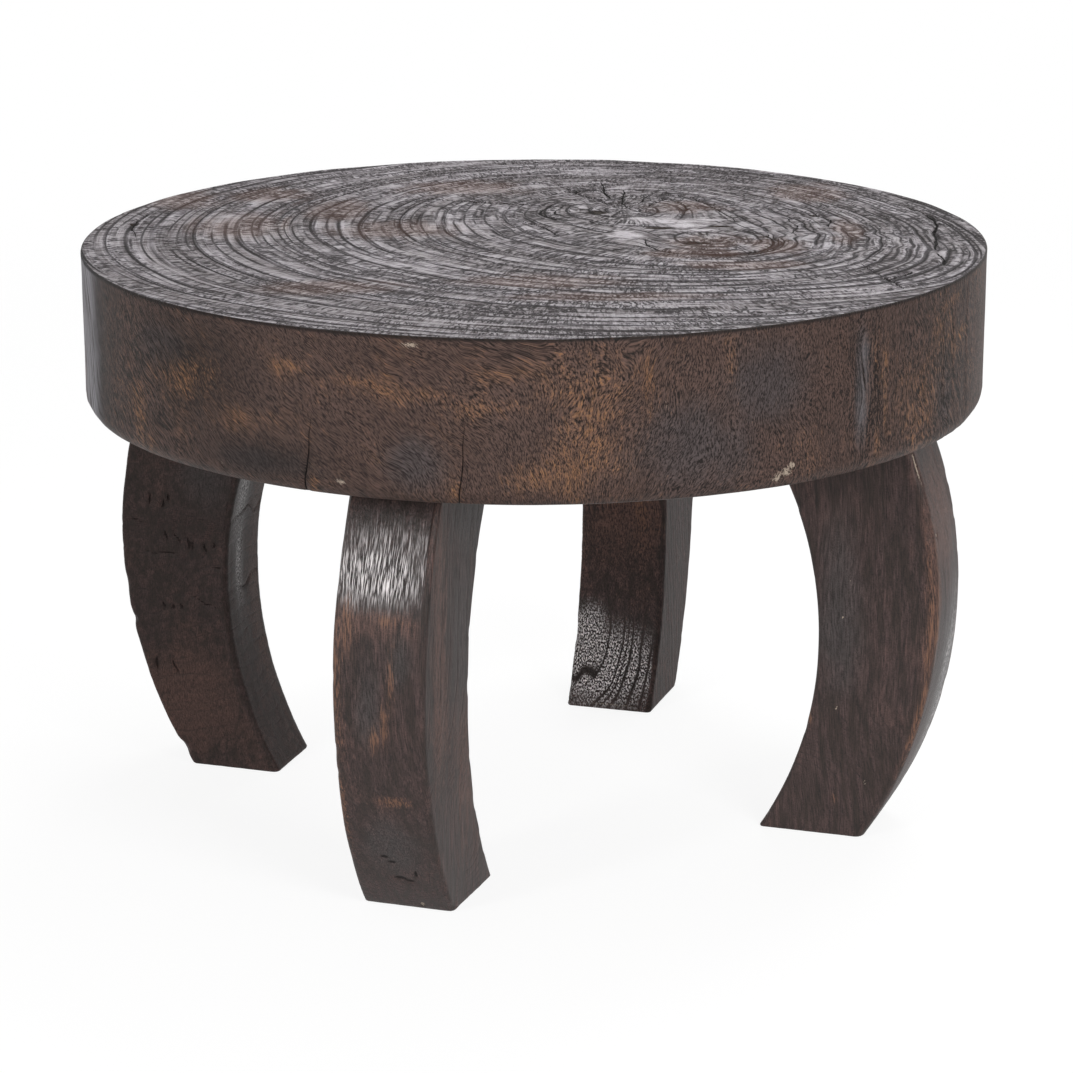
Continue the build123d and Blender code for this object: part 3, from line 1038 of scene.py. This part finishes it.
class Shader(Nodes):
    """A procedural material under construction."""

    def __init__(self, name):
        self.material = bpy.data.materials.new(name)
        self.material.use_nodes = True
        super().__init__(self.material.node_tree)
        self.surface = self.tree.nodes["Principled BSDF"].inputs
        self.colour = None

    def attribute(self, name, output="Fac"):
        return self.node("ShaderNodeAttribute", {}, output, attribute_name=name)

    def attributes(self, *names):
        return [self.attribute(name) for name in names]

    def place(self):
        """Where a point is, in millimetres."""
        where = self.node("ShaderNodeNewGeometry", {}, "Position")
        return self.node("ShaderNodeVectorMath", {0: where, 3: 1 / MM}, operation="SCALE")

    def parts(self, vector):
        return [self.node("ShaderNodeSeparateXYZ", {0: vector}, k) for k in range(3)]

    def noise(self, place, size=1.0, detail=2.0, roughness=0.5, distortion=0.0):
        """Noise from 0 to 1. The place is a vector, or its three parts."""
        if isinstance(place, tuple):
            place = self.node("ShaderNodeCombineXYZ", dict(enumerate(place)))
        inputs = {
            "Vector": place,
            "Scale": 1 / size,
            "Detail": detail,
            "Roughness": roughness,
            "Distortion": distortion,
        }
        return self.node("ShaderNodeTexNoise", inputs)

    def step(self, value, low, high):
        """0 at low, 1 at high, with an even S between."""
        inputs = {"Value": value, "From Min": low, "From Max": high}
        return self.node("ShaderNodeMapRange", inputs, interpolation_type="SMOOTHSTEP", clamp=True)

    def fall(self, value, low, high):
        """1 at low, 0 at high, with an even S between."""
        return 1 - self.step(value, low, high)

    def between(self, factor, low, high):
        """A number that runs from low to high as factor runs from 0 to 1."""
        inputs = {"Value": factor, "To Min": low, "To Max": high}
        return self.node("ShaderNodeMapRange", inputs, clamp=True)

    def blend(self, factor, first, second):
        """One colour where factor is 0, another where it is 1."""
        inputs = {0: factor, 6: first, 7: second}
        return self.node("ShaderNodeMix", inputs, 2, data_type="RGBA")

    def paint(self, cover, tone):
        """Lays a tone over the colour so far, where cover is 1."""
        self.colour = self.blend(cover, self.colour, tone)

    def finish(self, roughness, height, ior=1.5):
        """Wires the surface. height is in millimetres."""
        self.plug(self.surface["Base Color"], self.colour)
        self.plug(self.surface["Roughness"], roughness)
        normal = self.node("ShaderNodeBump", {"Height": height, "Distance": MM, "Strength": 1.0})
        self.plug(self.surface["Normal"], normal)
        self.surface["IOR"].default_value = ior
        return self.material


# Colours, as linear light
# char in the dark ring lines, and painted shade in open checks and cracks
char_and_shade_black = (0.007, 0.005, 0.0045, 1)
burnt_brown = (0.010, 0.0062, 0.005, 1)
dark_umber = (0.044, 0.027, 0.022, 1)
warm_umber = (0.122, 0.074, 0.061, 1)
wash_brown = (0.210, 0.117, 0.080, 1)
ash_grey = (0.086, 0.079, 0.085, 1)
rib_grey = (0.400, 0.390, 0.415, 1)
ember_orange = (0.19, 0.085, 0.038, 1)
ember_pale = (0.36, 0.180, 0.085, 1)
# Painted highlight: the legs' waxed glints are painted into their colour in this grey
glint_grey = (0.88, 0.82, 0.82, 1)
leg_umber = (0.112, 0.068, 0.064, 1)
leg_wash = (0.180, 0.098, 0.080, 1)
leg_ash = (0.110, 0.099, 0.100, 1)
leg_orange = (0.185, 0.088, 0.050, 1)
leg_pale = (0.300, 0.150, 0.088, 1)
bare_pale = (0.42, 0.34, 0.27, 1)
trough_brown = (0.072, 0.054, 0.052, 1)
# Painted reflection, in part: the ridges' pale tones stand in for the backdrop's sheen on waxed end
# grain seen from low down
ridge_sheen_brown = (0.350, 0.250, 0.225, 1)
check_brown = (0.050, 0.023, 0.016, 1)
ridge_sheen_lilac = (0.535, 0.492, 0.532, 1)
ridge_sheen_dim = (0.335, 0.300, 0.318, 1)
figure_pale = (0.66, 0.61, 0.65, 1)
pit_brown = (0.028, 0.017, 0.011, 1)
sapwood = (0.46, 0.32, 0.19, 1)


def top_material():
    """End grain: growth rings, radial checks, open cracks and the pale twisted figure."""
    s = Shader("slab_top_wood")
    place = s.place()
    ring, span, octave, pale, pit = s.attributes("ring", "span", "octave", "pale", "pit")
    tinted, check_away, check_open = s.attributes("ember", "check", "check_open")
    turn_x, turn_y, _ = s.parts(s.attribute("turn", "Vector"))
    speck = s.noise(place, 1.1, 2.0, 0.6)
    grit = s.noise(place, 3.2, 3.0, 0.6)
    busy = s.noise(place, 34, 2.0)

    def by_ring(number, spread, detail=2.0):
        """Noise with its own run along each numbered ring."""
        return s.noise((turn_x * spread, turn_y * spread, number), 1.0, detail)

    def along_rings(rate, spread, detail, roughness):
        """Noise drawn out along the rings. rate is how fast it changes across them."""
        return s.noise((ring * rate, turn_x * spread, turn_y * spread), 1.0, detail, roughness)

    # Bold rings: a sharp edge, then a brown slope on its outer side.
    band = s.math("ROUND", ring)
    gap = abs(ring - band) * span + (grit - 0.5) * 2.0
    band_mark = by_ring(band * 7.31, 2.0)
    bold = s.fall(gap, 0.5, 1.9) * s.step(band_mark, 0.38, 0.52)
    past = (ring - s.math("FLOOR", ring)) * span
    slope = s.fall(past, 0.0, 6.0) * s.step(band_mark, 0.38, 0.62)
    crest = s.step(past / span, 0.55, 0.95) * s.step(band_mark, 0.40, 0.60)

    # Fainter rings between them, each broken up along its length.
    fine = ring * fine_rings + along_rings(1.0, 3.0, 1.0, 0.5) * 0.5
    fine_band = s.math("ROUND", fine)
    fine_gap = abs(fine - fine_band) * span * (1 / fine_rings) + (grit - 0.5) * 1.6
    fine_mark = by_ring(fine_band * 3.73, 4.5)
    thin = s.fall(fine_gap, 0.3, 1.4) * s.step(fine_mark, 0.38, 0.54)

    # Brushed grain along the rings, and a zone now and then that is darker or paler.
    grain = along_rings(2.4, 5.5, 4.0, 0.75)
    zone = along_rings(0.6, 1.6, 2.0, 0.6)

    # Radial checks: each fine band has its own row of them, about evenly spaced. Longer ones
    # cross the wide bands. The finer hatching is the brushed end of the fibres.
    lower = s.math("FLOOR", octave)
    share = octave - lower
    row = s.math("FLOOR", fine)
    wide_row = s.math("FLOOR", ring * 0.8)
    sizes = [s.math("POWER", 2.0, lower + step_up) for step_up in (0, 1)]

    def across_rings(spread, number, detail, roughness):
        """Noise drawn out across the rings, about as fine near the hearts as at the rim."""
        fields = []
        for size in sizes:
            where = (turn_x * size * spread, turn_y * size * spread, number)
            fields.append(s.noise(where, 1.0, detail, roughness))
        return fields[0] * (1 - share) + fields[1] * share

    check_field = across_rings(1.0, row * 5.37 + fine * 0.6, 1.0, 0.6)
    split_field = across_rings(0.42, wide_row * 4.19 + fine * 0.35, 2.0, 0.6)
    hatch = across_rings(2.0, fine * 0.6, 2.0, 0.7)
    dash = s.fall(abs(check_field - 0.5), 0.01, 0.075)
    dash = dash * s.step(busy * 0.8 + by_ring(row * 2.9, 5.0, 1.0), 0.78, 0.95)
    split = s.fall(abs(split_field - 0.5), 0.005, 0.050)
    dash = dash.larger(split * s.step(by_ring(wide_row * 6.1, 4.0, 1.0) - busy * 0.3, 0.32, 0.42))

    check_away = abs(check_away)
    check = s.step(check_open - (check_away + (grit - 0.5) * 0.8), -0.35, 0.25)
    hole = s.step(pit + (grit - 0.5) * 0.4, 0.28, 0.62)
    cut = (bold * 0.9).larger(thin * 0.8).larger(dash * 0.85)
    cut = cut * (1 - s.step(pale, 0.20, 0.7) * 0.85)
    cut = cut.larger(check)

    ember = s.step(tinted * 0.8 + busy * 0.5 + fine_mark * 0.6, 0.75, 1.25)
    rows = along_rings(6.3, 4.6, 3.0, 0.75)
    ridge = s.step(rows * 0.34 + grain * 0.20 + hatch * 0.46 + speck * 0.1, 0.40, 0.62)
    # Painted reflection, in part: raised fibres are painted pale grey-lilac, paler at each bold ring's
    # crest, for the sheen on them; the troughs stay dark brown.
    ridge_sheen_tone = s.blend(s.step(zone + crest * 0.25, 0.35, 0.70), ridge_sheen_dim, ridge_sheen_lilac)
    s.colour = s.blend(ridge, trough_brown, s.blend(ember * 0.65, ridge_sheen_tone, ridge_sheen_brown))
    s.paint(slope * 0.5, trough_brown)
    x, y, _ = s.parts(place)
    twist = s.noise((x / 20, (y + x * 0.15) / 6.5, 0.0), 1.0, 3.0, 0.6, 0.7)
    figure = s.step(pale + (twist - 0.5) * 3.2 + (hatch - 0.5) * 1.2, 0.30, 0.85)
    figure = figure * s.step(pale, 0.05, 0.3)
    s.paint(figure * 0.95, figure_pale)
    s.paint(hole, pit_brown)
    halo = s.fall(check_away, 0.0, 4.5) * s.step(check_open, 0.3, 0.9)
    s.paint(halo * 0.45, pit_brown)
    # The ring lines and radial checks are dark marks; in the open checks the black is painted shade
    # standing in for their depth.
    s.paint(cut, s.blend(ember, char_and_shade_black, check_brown))
    rough = s.between(ridge, 0.85, 0.36) + slope * 0.2 - figure * 0.1
    rough = (rough + cut * 0.6 + hole * 0.4).smaller(1.0)
    height = ridge * 0.50 + hatch * 0.60 + grit * 0.35 + speck * 0.15 + zone * 0.7
    height = height - cut * 1.3 - slope * 0.6 + crest * 0.5 + figure * twist * 1.6
    return s.finish(rough, height, 1.45)


def side_material():
    """The slab's side: small interlocked flecks, darker and greyer in broad patches, with
    orange wood where the burnt skin has rubbed away."""
    s = Shader("slab_side_wood")
    place = s.place()
    up = s.parts(place)[2]
    fibre = s.attribute("fibre", "Vector")
    along_x, along_y, along_z = s.parts(fibre)
    ribs, coarse, rubbed, ashen, darker_patch = s.attributes("ribs", "coarse", "ember", "ash", "darker_patch")
    pale_streak_spots, pale, check_away, check_open = s.attributes("pale_streaked", "pale", "check", "check_open")
    flecks = s.noise(fibre, 0.85, 2.0, 0.65, 0.2) * (1 - coarse)
    flecks = flecks + s.noise(fibre, 1.5, 3.0, 0.75, 0.2) * coarse
    wisps = s.noise(fibre, 3.0, 3.0, 0.6)
    lines = s.noise((along_x, along_y, along_z / 9), 1.9, 2.0, 0.6)
    streaks = s.noise((along_x, along_y, along_z / 3), 5.0, 4.0, 0.75)
    patches = s.noise(place, 42, 4.0, 0.6)
    grit = s.noise(place, 0.9, 2.0, 0.6)
    check = s.step(check_open - (abs(check_away) + (grit - 0.5) * 0.7), -0.15, 0.25)
    texture = flecks * (1 - ribs * 0.3) + lines * ribs * 0.3
    rich = rubbed * 0.6 + (patches - 0.5) * 1.4 + (wisps - 0.5) * 1.0
    wash = s.step(rich, 0.0, 0.75)
    ember = s.step(texture + rich * 0.22, 0.66, 0.80)
    ash = s.step(ashen + (patches - 0.5) * 1.2, 0.25, 1.0)
    crisp = coarse.larger(ribs)
    raised = s.step(texture, s.between(crisp, 0.35, 0.465), s.between(crisp, 0.63, 0.565))
    s.colour = s.blend(raised, burnt_brown, s.blend(wash, warm_umber, wash_brown))
    s.paint(ash * 0.65, s.blend(raised, burnt_brown, ash_grey))
    # Darker in broad patches, mostly on the left as the camera sees it.
    s.paint(darker_patch * 0.62, burnt_brown)
    # Pale grey streaks, strongest at the far left as the camera sees it, and over the faded places.
    pale_streaked = s.step(pale_streak_spots + (patches - 0.5) * 0.3, 0.12, 0.62)
    pale_streaks = pale_streaked * s.step(streaks * 0.6 + lines * 0.4, 0.34, 0.56)
    s.paint(pale_streaks * 0.95, rib_grey)
    s.paint(ember * (0.85 - ash * 0.5), s.blend(wisps, ember_orange, ember_pale))
    vein_field = s.noise(fibre, 5.5, 2.0, 0.55, 0.5)
    veins = s.fall(abs(vein_field - 0.5), 0.006, 0.034) * s.step(rich + (wisps - 0.5), 0.30, 0.95)
    s.paint(veins * (0.60 - ash * 0.5), ember_pale)
    bare = s.step(pale + (texture - 0.5) * 1.6 + (grit - 0.5) * 0.8, 0.62, 0.80)
    s.paint(bare, bare_pale)
    # Darker in a thin line just under the top's rim.
    dark_rim_line = s.step(up, slab_top - 4.0, slab_top - 1.5) * 0.8
    # Painted shade: the side's open checks are painted black for their depth.
    s.paint(check.larger(dark_rim_line), char_and_shade_black)
    rough = s.between(wisps, 0.46, 0.66) + ash * 0.05 + check * 0.3 + pale_streaked * 0.22
    height = texture * 0.75 + wisps * 0.5 + lines * ribs * 0.6
    height = height + streaks * pale_streaked * pale_streaked * 1.6 + grit * 0.10 - check * 0.8
    return s.finish(rough, height, 1.31)


def sawn_material():
    """Sawn faces that the floor or another piece hides, and the insides of the bores."""
    s = Shader("sawn_wood")
    place = s.place()
    waves = {"Vector": place, "Scale": 1 / 26, "Distortion": 2.5, "Detail": 2.0, "Detail Scale": 0.6}
    arcs = s.node("ShaderNodeTexWave", waves, "Fac", bands_direction="DIAGONAL")
    grit = s.noise(place, 2.4, 3.0, 0.6)
    stain = s.noise(place, 60, 4.0, 0.6)
    s.colour = s.blend(grit, dark_umber, warm_umber)
    s.paint(s.step(stain, 0.45, 0.7) * 0.5, ash_grey)
    return s.finish(s.between(grit, 0.7, 0.9), arcs * 0.35 + grit * 0.2)


def leg_material(place_name, style):
    """Long grain, with growth rings, rubbed orange wood and waxed highlights: a real gloss, and bright
    glints painted into the colour over a darkened ground.
    """
    s = Shader(f"{place_name}_leg_wood")
    place = s.place()
    out, side, up = s.parts(s.attribute("grain", "Vector"))
    ring, gloss_and_glint, rubbed, tint, ashen = s.attributes("ring", "gloss_and_glint", "ember", "tint", "ash")
    pale, arris, check_open = s.attributes("pale", "arris", "check_open")
    stretch = 3.0 if style["cross_grain"] else 14.0
    strands = s.noise((out, side, up / stretch), 0.95, 2.0, 0.65, 0.2)
    strands = (strands - 0.5) * style["strand_contrast"] + 0.5
    bundles = s.noise((out, side, up / (stretch * 0.5)), 6.0, 3.0, 0.6)
    patches = s.noise(place, 48, 4.0, 0.6)
    grit = s.noise(place, 1.1, 2.0, 0.6)
    gap = abs(ring - s.math("ROUND", ring))
    ring_line = s.fall(gap, 0.02, 0.14) * s.step(bundles, 0.40, 0.66)
    check = s.step(check_open + (grit - 0.5) * 0.25, 0.42, 0.62)
    rich = rubbed * 0.6 + (patches - 0.5) * 1.2 + (bundles - 0.5) * 1.0 - gloss_and_glint * 0.5
    wash = s.step(rich + tint * 0.8, 0.0, 0.75)
    worn = rubbed * 0.25 + (rich - rubbed * 0.6) * 0.13
    ember = s.step(strands + worn, 0.66, 0.82)
    ash = s.step(ashen + (patches - 0.5) * 1.1 + (bundles - 0.5) * 0.5, 0.3, 1.1)
    raised = s.step(strands * 0.7 + grit * 0.3, 0.33, 0.67)
    wood = s.blend(wash, s.blend(s.step(bundles, 0.35, 0.65), dark_umber, leg_umber), leg_wash)
    s.colour = s.blend(raised, burnt_brown, wood)
    s.paint(ash * 0.60, s.blend(raised, burnt_brown, leg_ash))
    s.paint(ember * 0.70, s.blend(bundles, leg_orange, leg_pale))
    s.paint(style["burnt"], burnt_brown)
    s.paint(ring_line * 0.45, char_and_shade_black)
    s.paint(s.step(pale + (grit - 0.5) * 1.2, 0.5, 0.85), bare_pale)
    # Painted shade: checks, scratches and seams are painted nearly black for their depth.
    s.paint(check * 0.85, char_and_shade_black)
    rough = s.between(bundles, 0.46, 0.64) + check * 0.3 - gloss_and_glint * 0.40 - arris * 0.06
    # Painted highlight: under the gloss marks the colour is darkened, then flecked with bright painted
    # glints.
    shine = s.step(gloss_and_glint + (bundles - 0.5) * 0.3 + (strands - 0.5) * 0.3, 0.15, 0.85)
    s.paint(shine * 0.75, burnt_brown)
    pebble_place = (side, up / style["pebble_stretch"], 0.0)
    pebble = s.noise(pebble_place, style["pebble_size"], 2.0, 0.6, 0.1)
    bands = s.between(s.step(gap, 0.06, 0.26), style["glint_on_ring_lines"], 1.0)
    glint = s.step(pebble, 0.47, 0.61) * (1 - check) * bands
    s.paint(shine * glint, glint_grey)
    height = strands * 0.52 + bundles * 0.35 + grit * 0.06 - ring_line * 0.25 - check * 0.8
    height = height * (1 - shine * 0.6) + shine * s.step(pebble, 0.25, 0.75) * 0.35
    return s.finish(rough, height, style["ior"])


def dowel_material():
    """Bare turned hardwood."""
    s = Shader("bare_dowel_wood")
    x, y, z = s.parts(s.place())
    strands = s.noise((x, y, z / 12), 1.2, 3.0, 0.6)
    pores = s.step(s.noise((x, y, z / 6), 0.6, 1.0), 0.6, 0.75)
    s.colour = s.blend(strands, sapwood, bare_pale)
    s.paint(pores * 0.5, warm_umber)
    return s.finish(s.between(strands, 0.5, 0.7), strands * 0.1 - pores * 0.1)


# ======================================================================= the table
slab_low, slab_high = [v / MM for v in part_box("tabletop_slab")]
slab_radius = (slab_high.x - slab_low.x) / 2
slab_top, leg_height = slab_high.z, slab_low.z
slab_thickness = slab_top - leg_height
dowel_centres = {}
for place in leg_styles:
    for side in dowel_sides:
        low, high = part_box(f"dowel_{place}_{side}")
        middle = (low + high) / 2 / MM
        dowel_centres[place, side] = (middle.x, middle.y)

sawn = sawn_material()
slab = slab_shape([top_material(), side_material(), sawn])
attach(slab, "root")
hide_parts("tabletop_slab")

for place, style in leg_styles.items():
    leg = leg_shape(place, style, [leg_material(place, style), sawn])
    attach(leg, "root")
    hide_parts(f"leg_{place}")

dowel_wood = dowel_material()
for place, side in dowel_centres:
    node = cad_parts[f"dowel_{place}_{side}"]
    node.data.materials.clear()
    node.data.materials.append(dowel_wood)


# ======================================================================= the studio
floor_radius = 3.2
floor_sides = 96
floor_drop = 0.0004            # keeps the floor clear of the soles
floor_greys = ((0.148, 0.148, 0.148, 1), (0.155, 0.155, 0.155, 1))
floor_glow = 0.875             # how bright the floor is by itself, where it is seen
floor_bounce = 0.14            # how bright it is as light on the table
room_grey = 0.30               # how bright the room is as light on the table
paper_white = (1, 1, 1, 1)


def aimed(origin, target, roll=0.0):
    """A matrix at origin that looks at target down its own -Z."""
    forward = (Vector(target) - Vector(origin)).normalized()
    level = forward.cross(Vector((0, 0, 1))).normalized()
    upright = level.cross(forward)
    right = level * math.cos(roll) + upright * math.sin(roll)
    up = upright * math.cos(roll) - level * math.sin(roll)
    axes = Matrix((right, up, -forward)).transposed().to_4x4()
    return Matrix.Translation(origin) @ axes


def from_camera_side(right, away, up):
    """A frame position, given as the camera sees it, in metres."""
    return Vector((*frame_plan(right, away), up))


def add_floor():
    """A pale floor that thins out to the white background."""
    turns = [2 * math.pi * k / floor_sides for k in range(floor_sides)]
    points = [(floor_radius * math.cos(t), floor_radius * math.sin(t), -floor_drop) for t in turns]
    mesh = bpy.data.meshes.new("floor")
    mesh.from_pydata(points, [], [list(range(floor_sides))])
    floor = bpy.data.objects.new("floor", mesh)
    bpy.context.scene.collection.objects.link(floor)
    s = Shader("floor_paper")
    place = s.node("ShaderNodeNewGeometry", {}, "Position")
    distance = s.node("ShaderNodeVectorMath", {0: place}, "Value", operation="LENGTH")
    s.plug(s.surface["Base Color"], s.blend(s.noise(place, 1 / 3.0, 2.0), *floor_greys))
    s.surface["Roughness"].default_value = 0.9
    s.plug(s.surface["Alpha"], s.fall(distance, 0.9, 2.6))
    seen = s.light_path("Is Camera Ray") + s.light_path("Is Transmission Ray")
    seen = seen + s.light_path("Is Glossy Ray")
    s.surface["Emission Color"].default_value = paper_white
    s.plug(s.surface["Emission Strength"], s.mix(seen, floor_bounce, floor_glow))
    mesh.materials.append(s.material)


def add_world():
    """White to the camera and, in reflections, a backdrop that is bright behind the table.
    As light it is a softer grey."""
    world = bpy.data.worlds.new("studio")
    bpy.context.scene.world = world
    world.use_nodes = True
    n = Nodes(world.node_tree)
    direction = n.node("ShaderNodeTexCoord", {}, "Generated")
    ahead = {0: direction, 1: from_camera_side(0, 1, 0)}
    toward = n.node("ShaderNodeVectorMath", ahead, "Value", operation="DOT_PRODUCT")
    brighter = {"Value": toward, "From Min": -0.2, "From Max": 0.9, "To Min": 0.15, "To Max": 1.0}
    backdrop = n.node("ShaderNodeMapRange", brighter)
    room = n.mix(n.light_path("Is Glossy Ray"), room_grey, backdrop)
    seen = n.light_path("Is Camera Ray").larger(n.light_path("Is Transmission Ray"))
    background = n.tree.nodes["Background"].inputs
    background["Color"].default_value = paper_white
    n.plug(background["Strength"], n.mix(seen, room, 1.0))


def add_softbox(name, origin, target, wide, high, watts):
    """A rectangular soft light, in metres and watts."""
    data = bpy.data.lights.new(name, "AREA")
    data.shape = "RECTANGLE"
    data.size, data.size_y, data.energy = wide, high, watts
    light = bpy.data.objects.new(name, data)
    light.matrix_world = aimed(origin, target)
    bpy.context.scene.collection.objects.link(light)


def add_camera():
    """The camera, at the picture's angle and size."""
    data = bpy.data.cameras.new("camera")
    data.sensor_width = sensor_width
    data.lens = sensor_width * focal_pixels / photo_pixels
    data.clip_end = 50
    camera = bpy.data.objects.new("camera", data)
    target = from_camera_side(*camera_aim)
    back = -math.cos(camera_tilt) * camera_distance
    rise = math.sin(camera_tilt) * camera_distance
    origin = from_camera_side(camera_aim[0], camera_aim[1] + back, camera_aim[2] + rise)
    camera.matrix_world = aimed(origin, target, -camera_roll)
    bpy.context.scene.collection.objects.link(camera)
    bpy.context.scene.camera = camera


add_floor()
add_world()
add_softbox("key_softbox", from_camera_side(1.4, -2.3, 1.25), (0, 0, 0.25), 1.1, 1.1, 42)
add_softbox("left_softbox", from_camera_side(-1.74, -1.93, 0.95), (0, 0, 0.2), 0.4, 1.3, 24)
add_softbox("top_softbox", from_camera_side(0.7, 1.3, 2.2), (0, 0, 0.4), 1.6, 1.6, 26)
add_camera()
bpy.context.scene.view_settings.view_transform = "Standard"
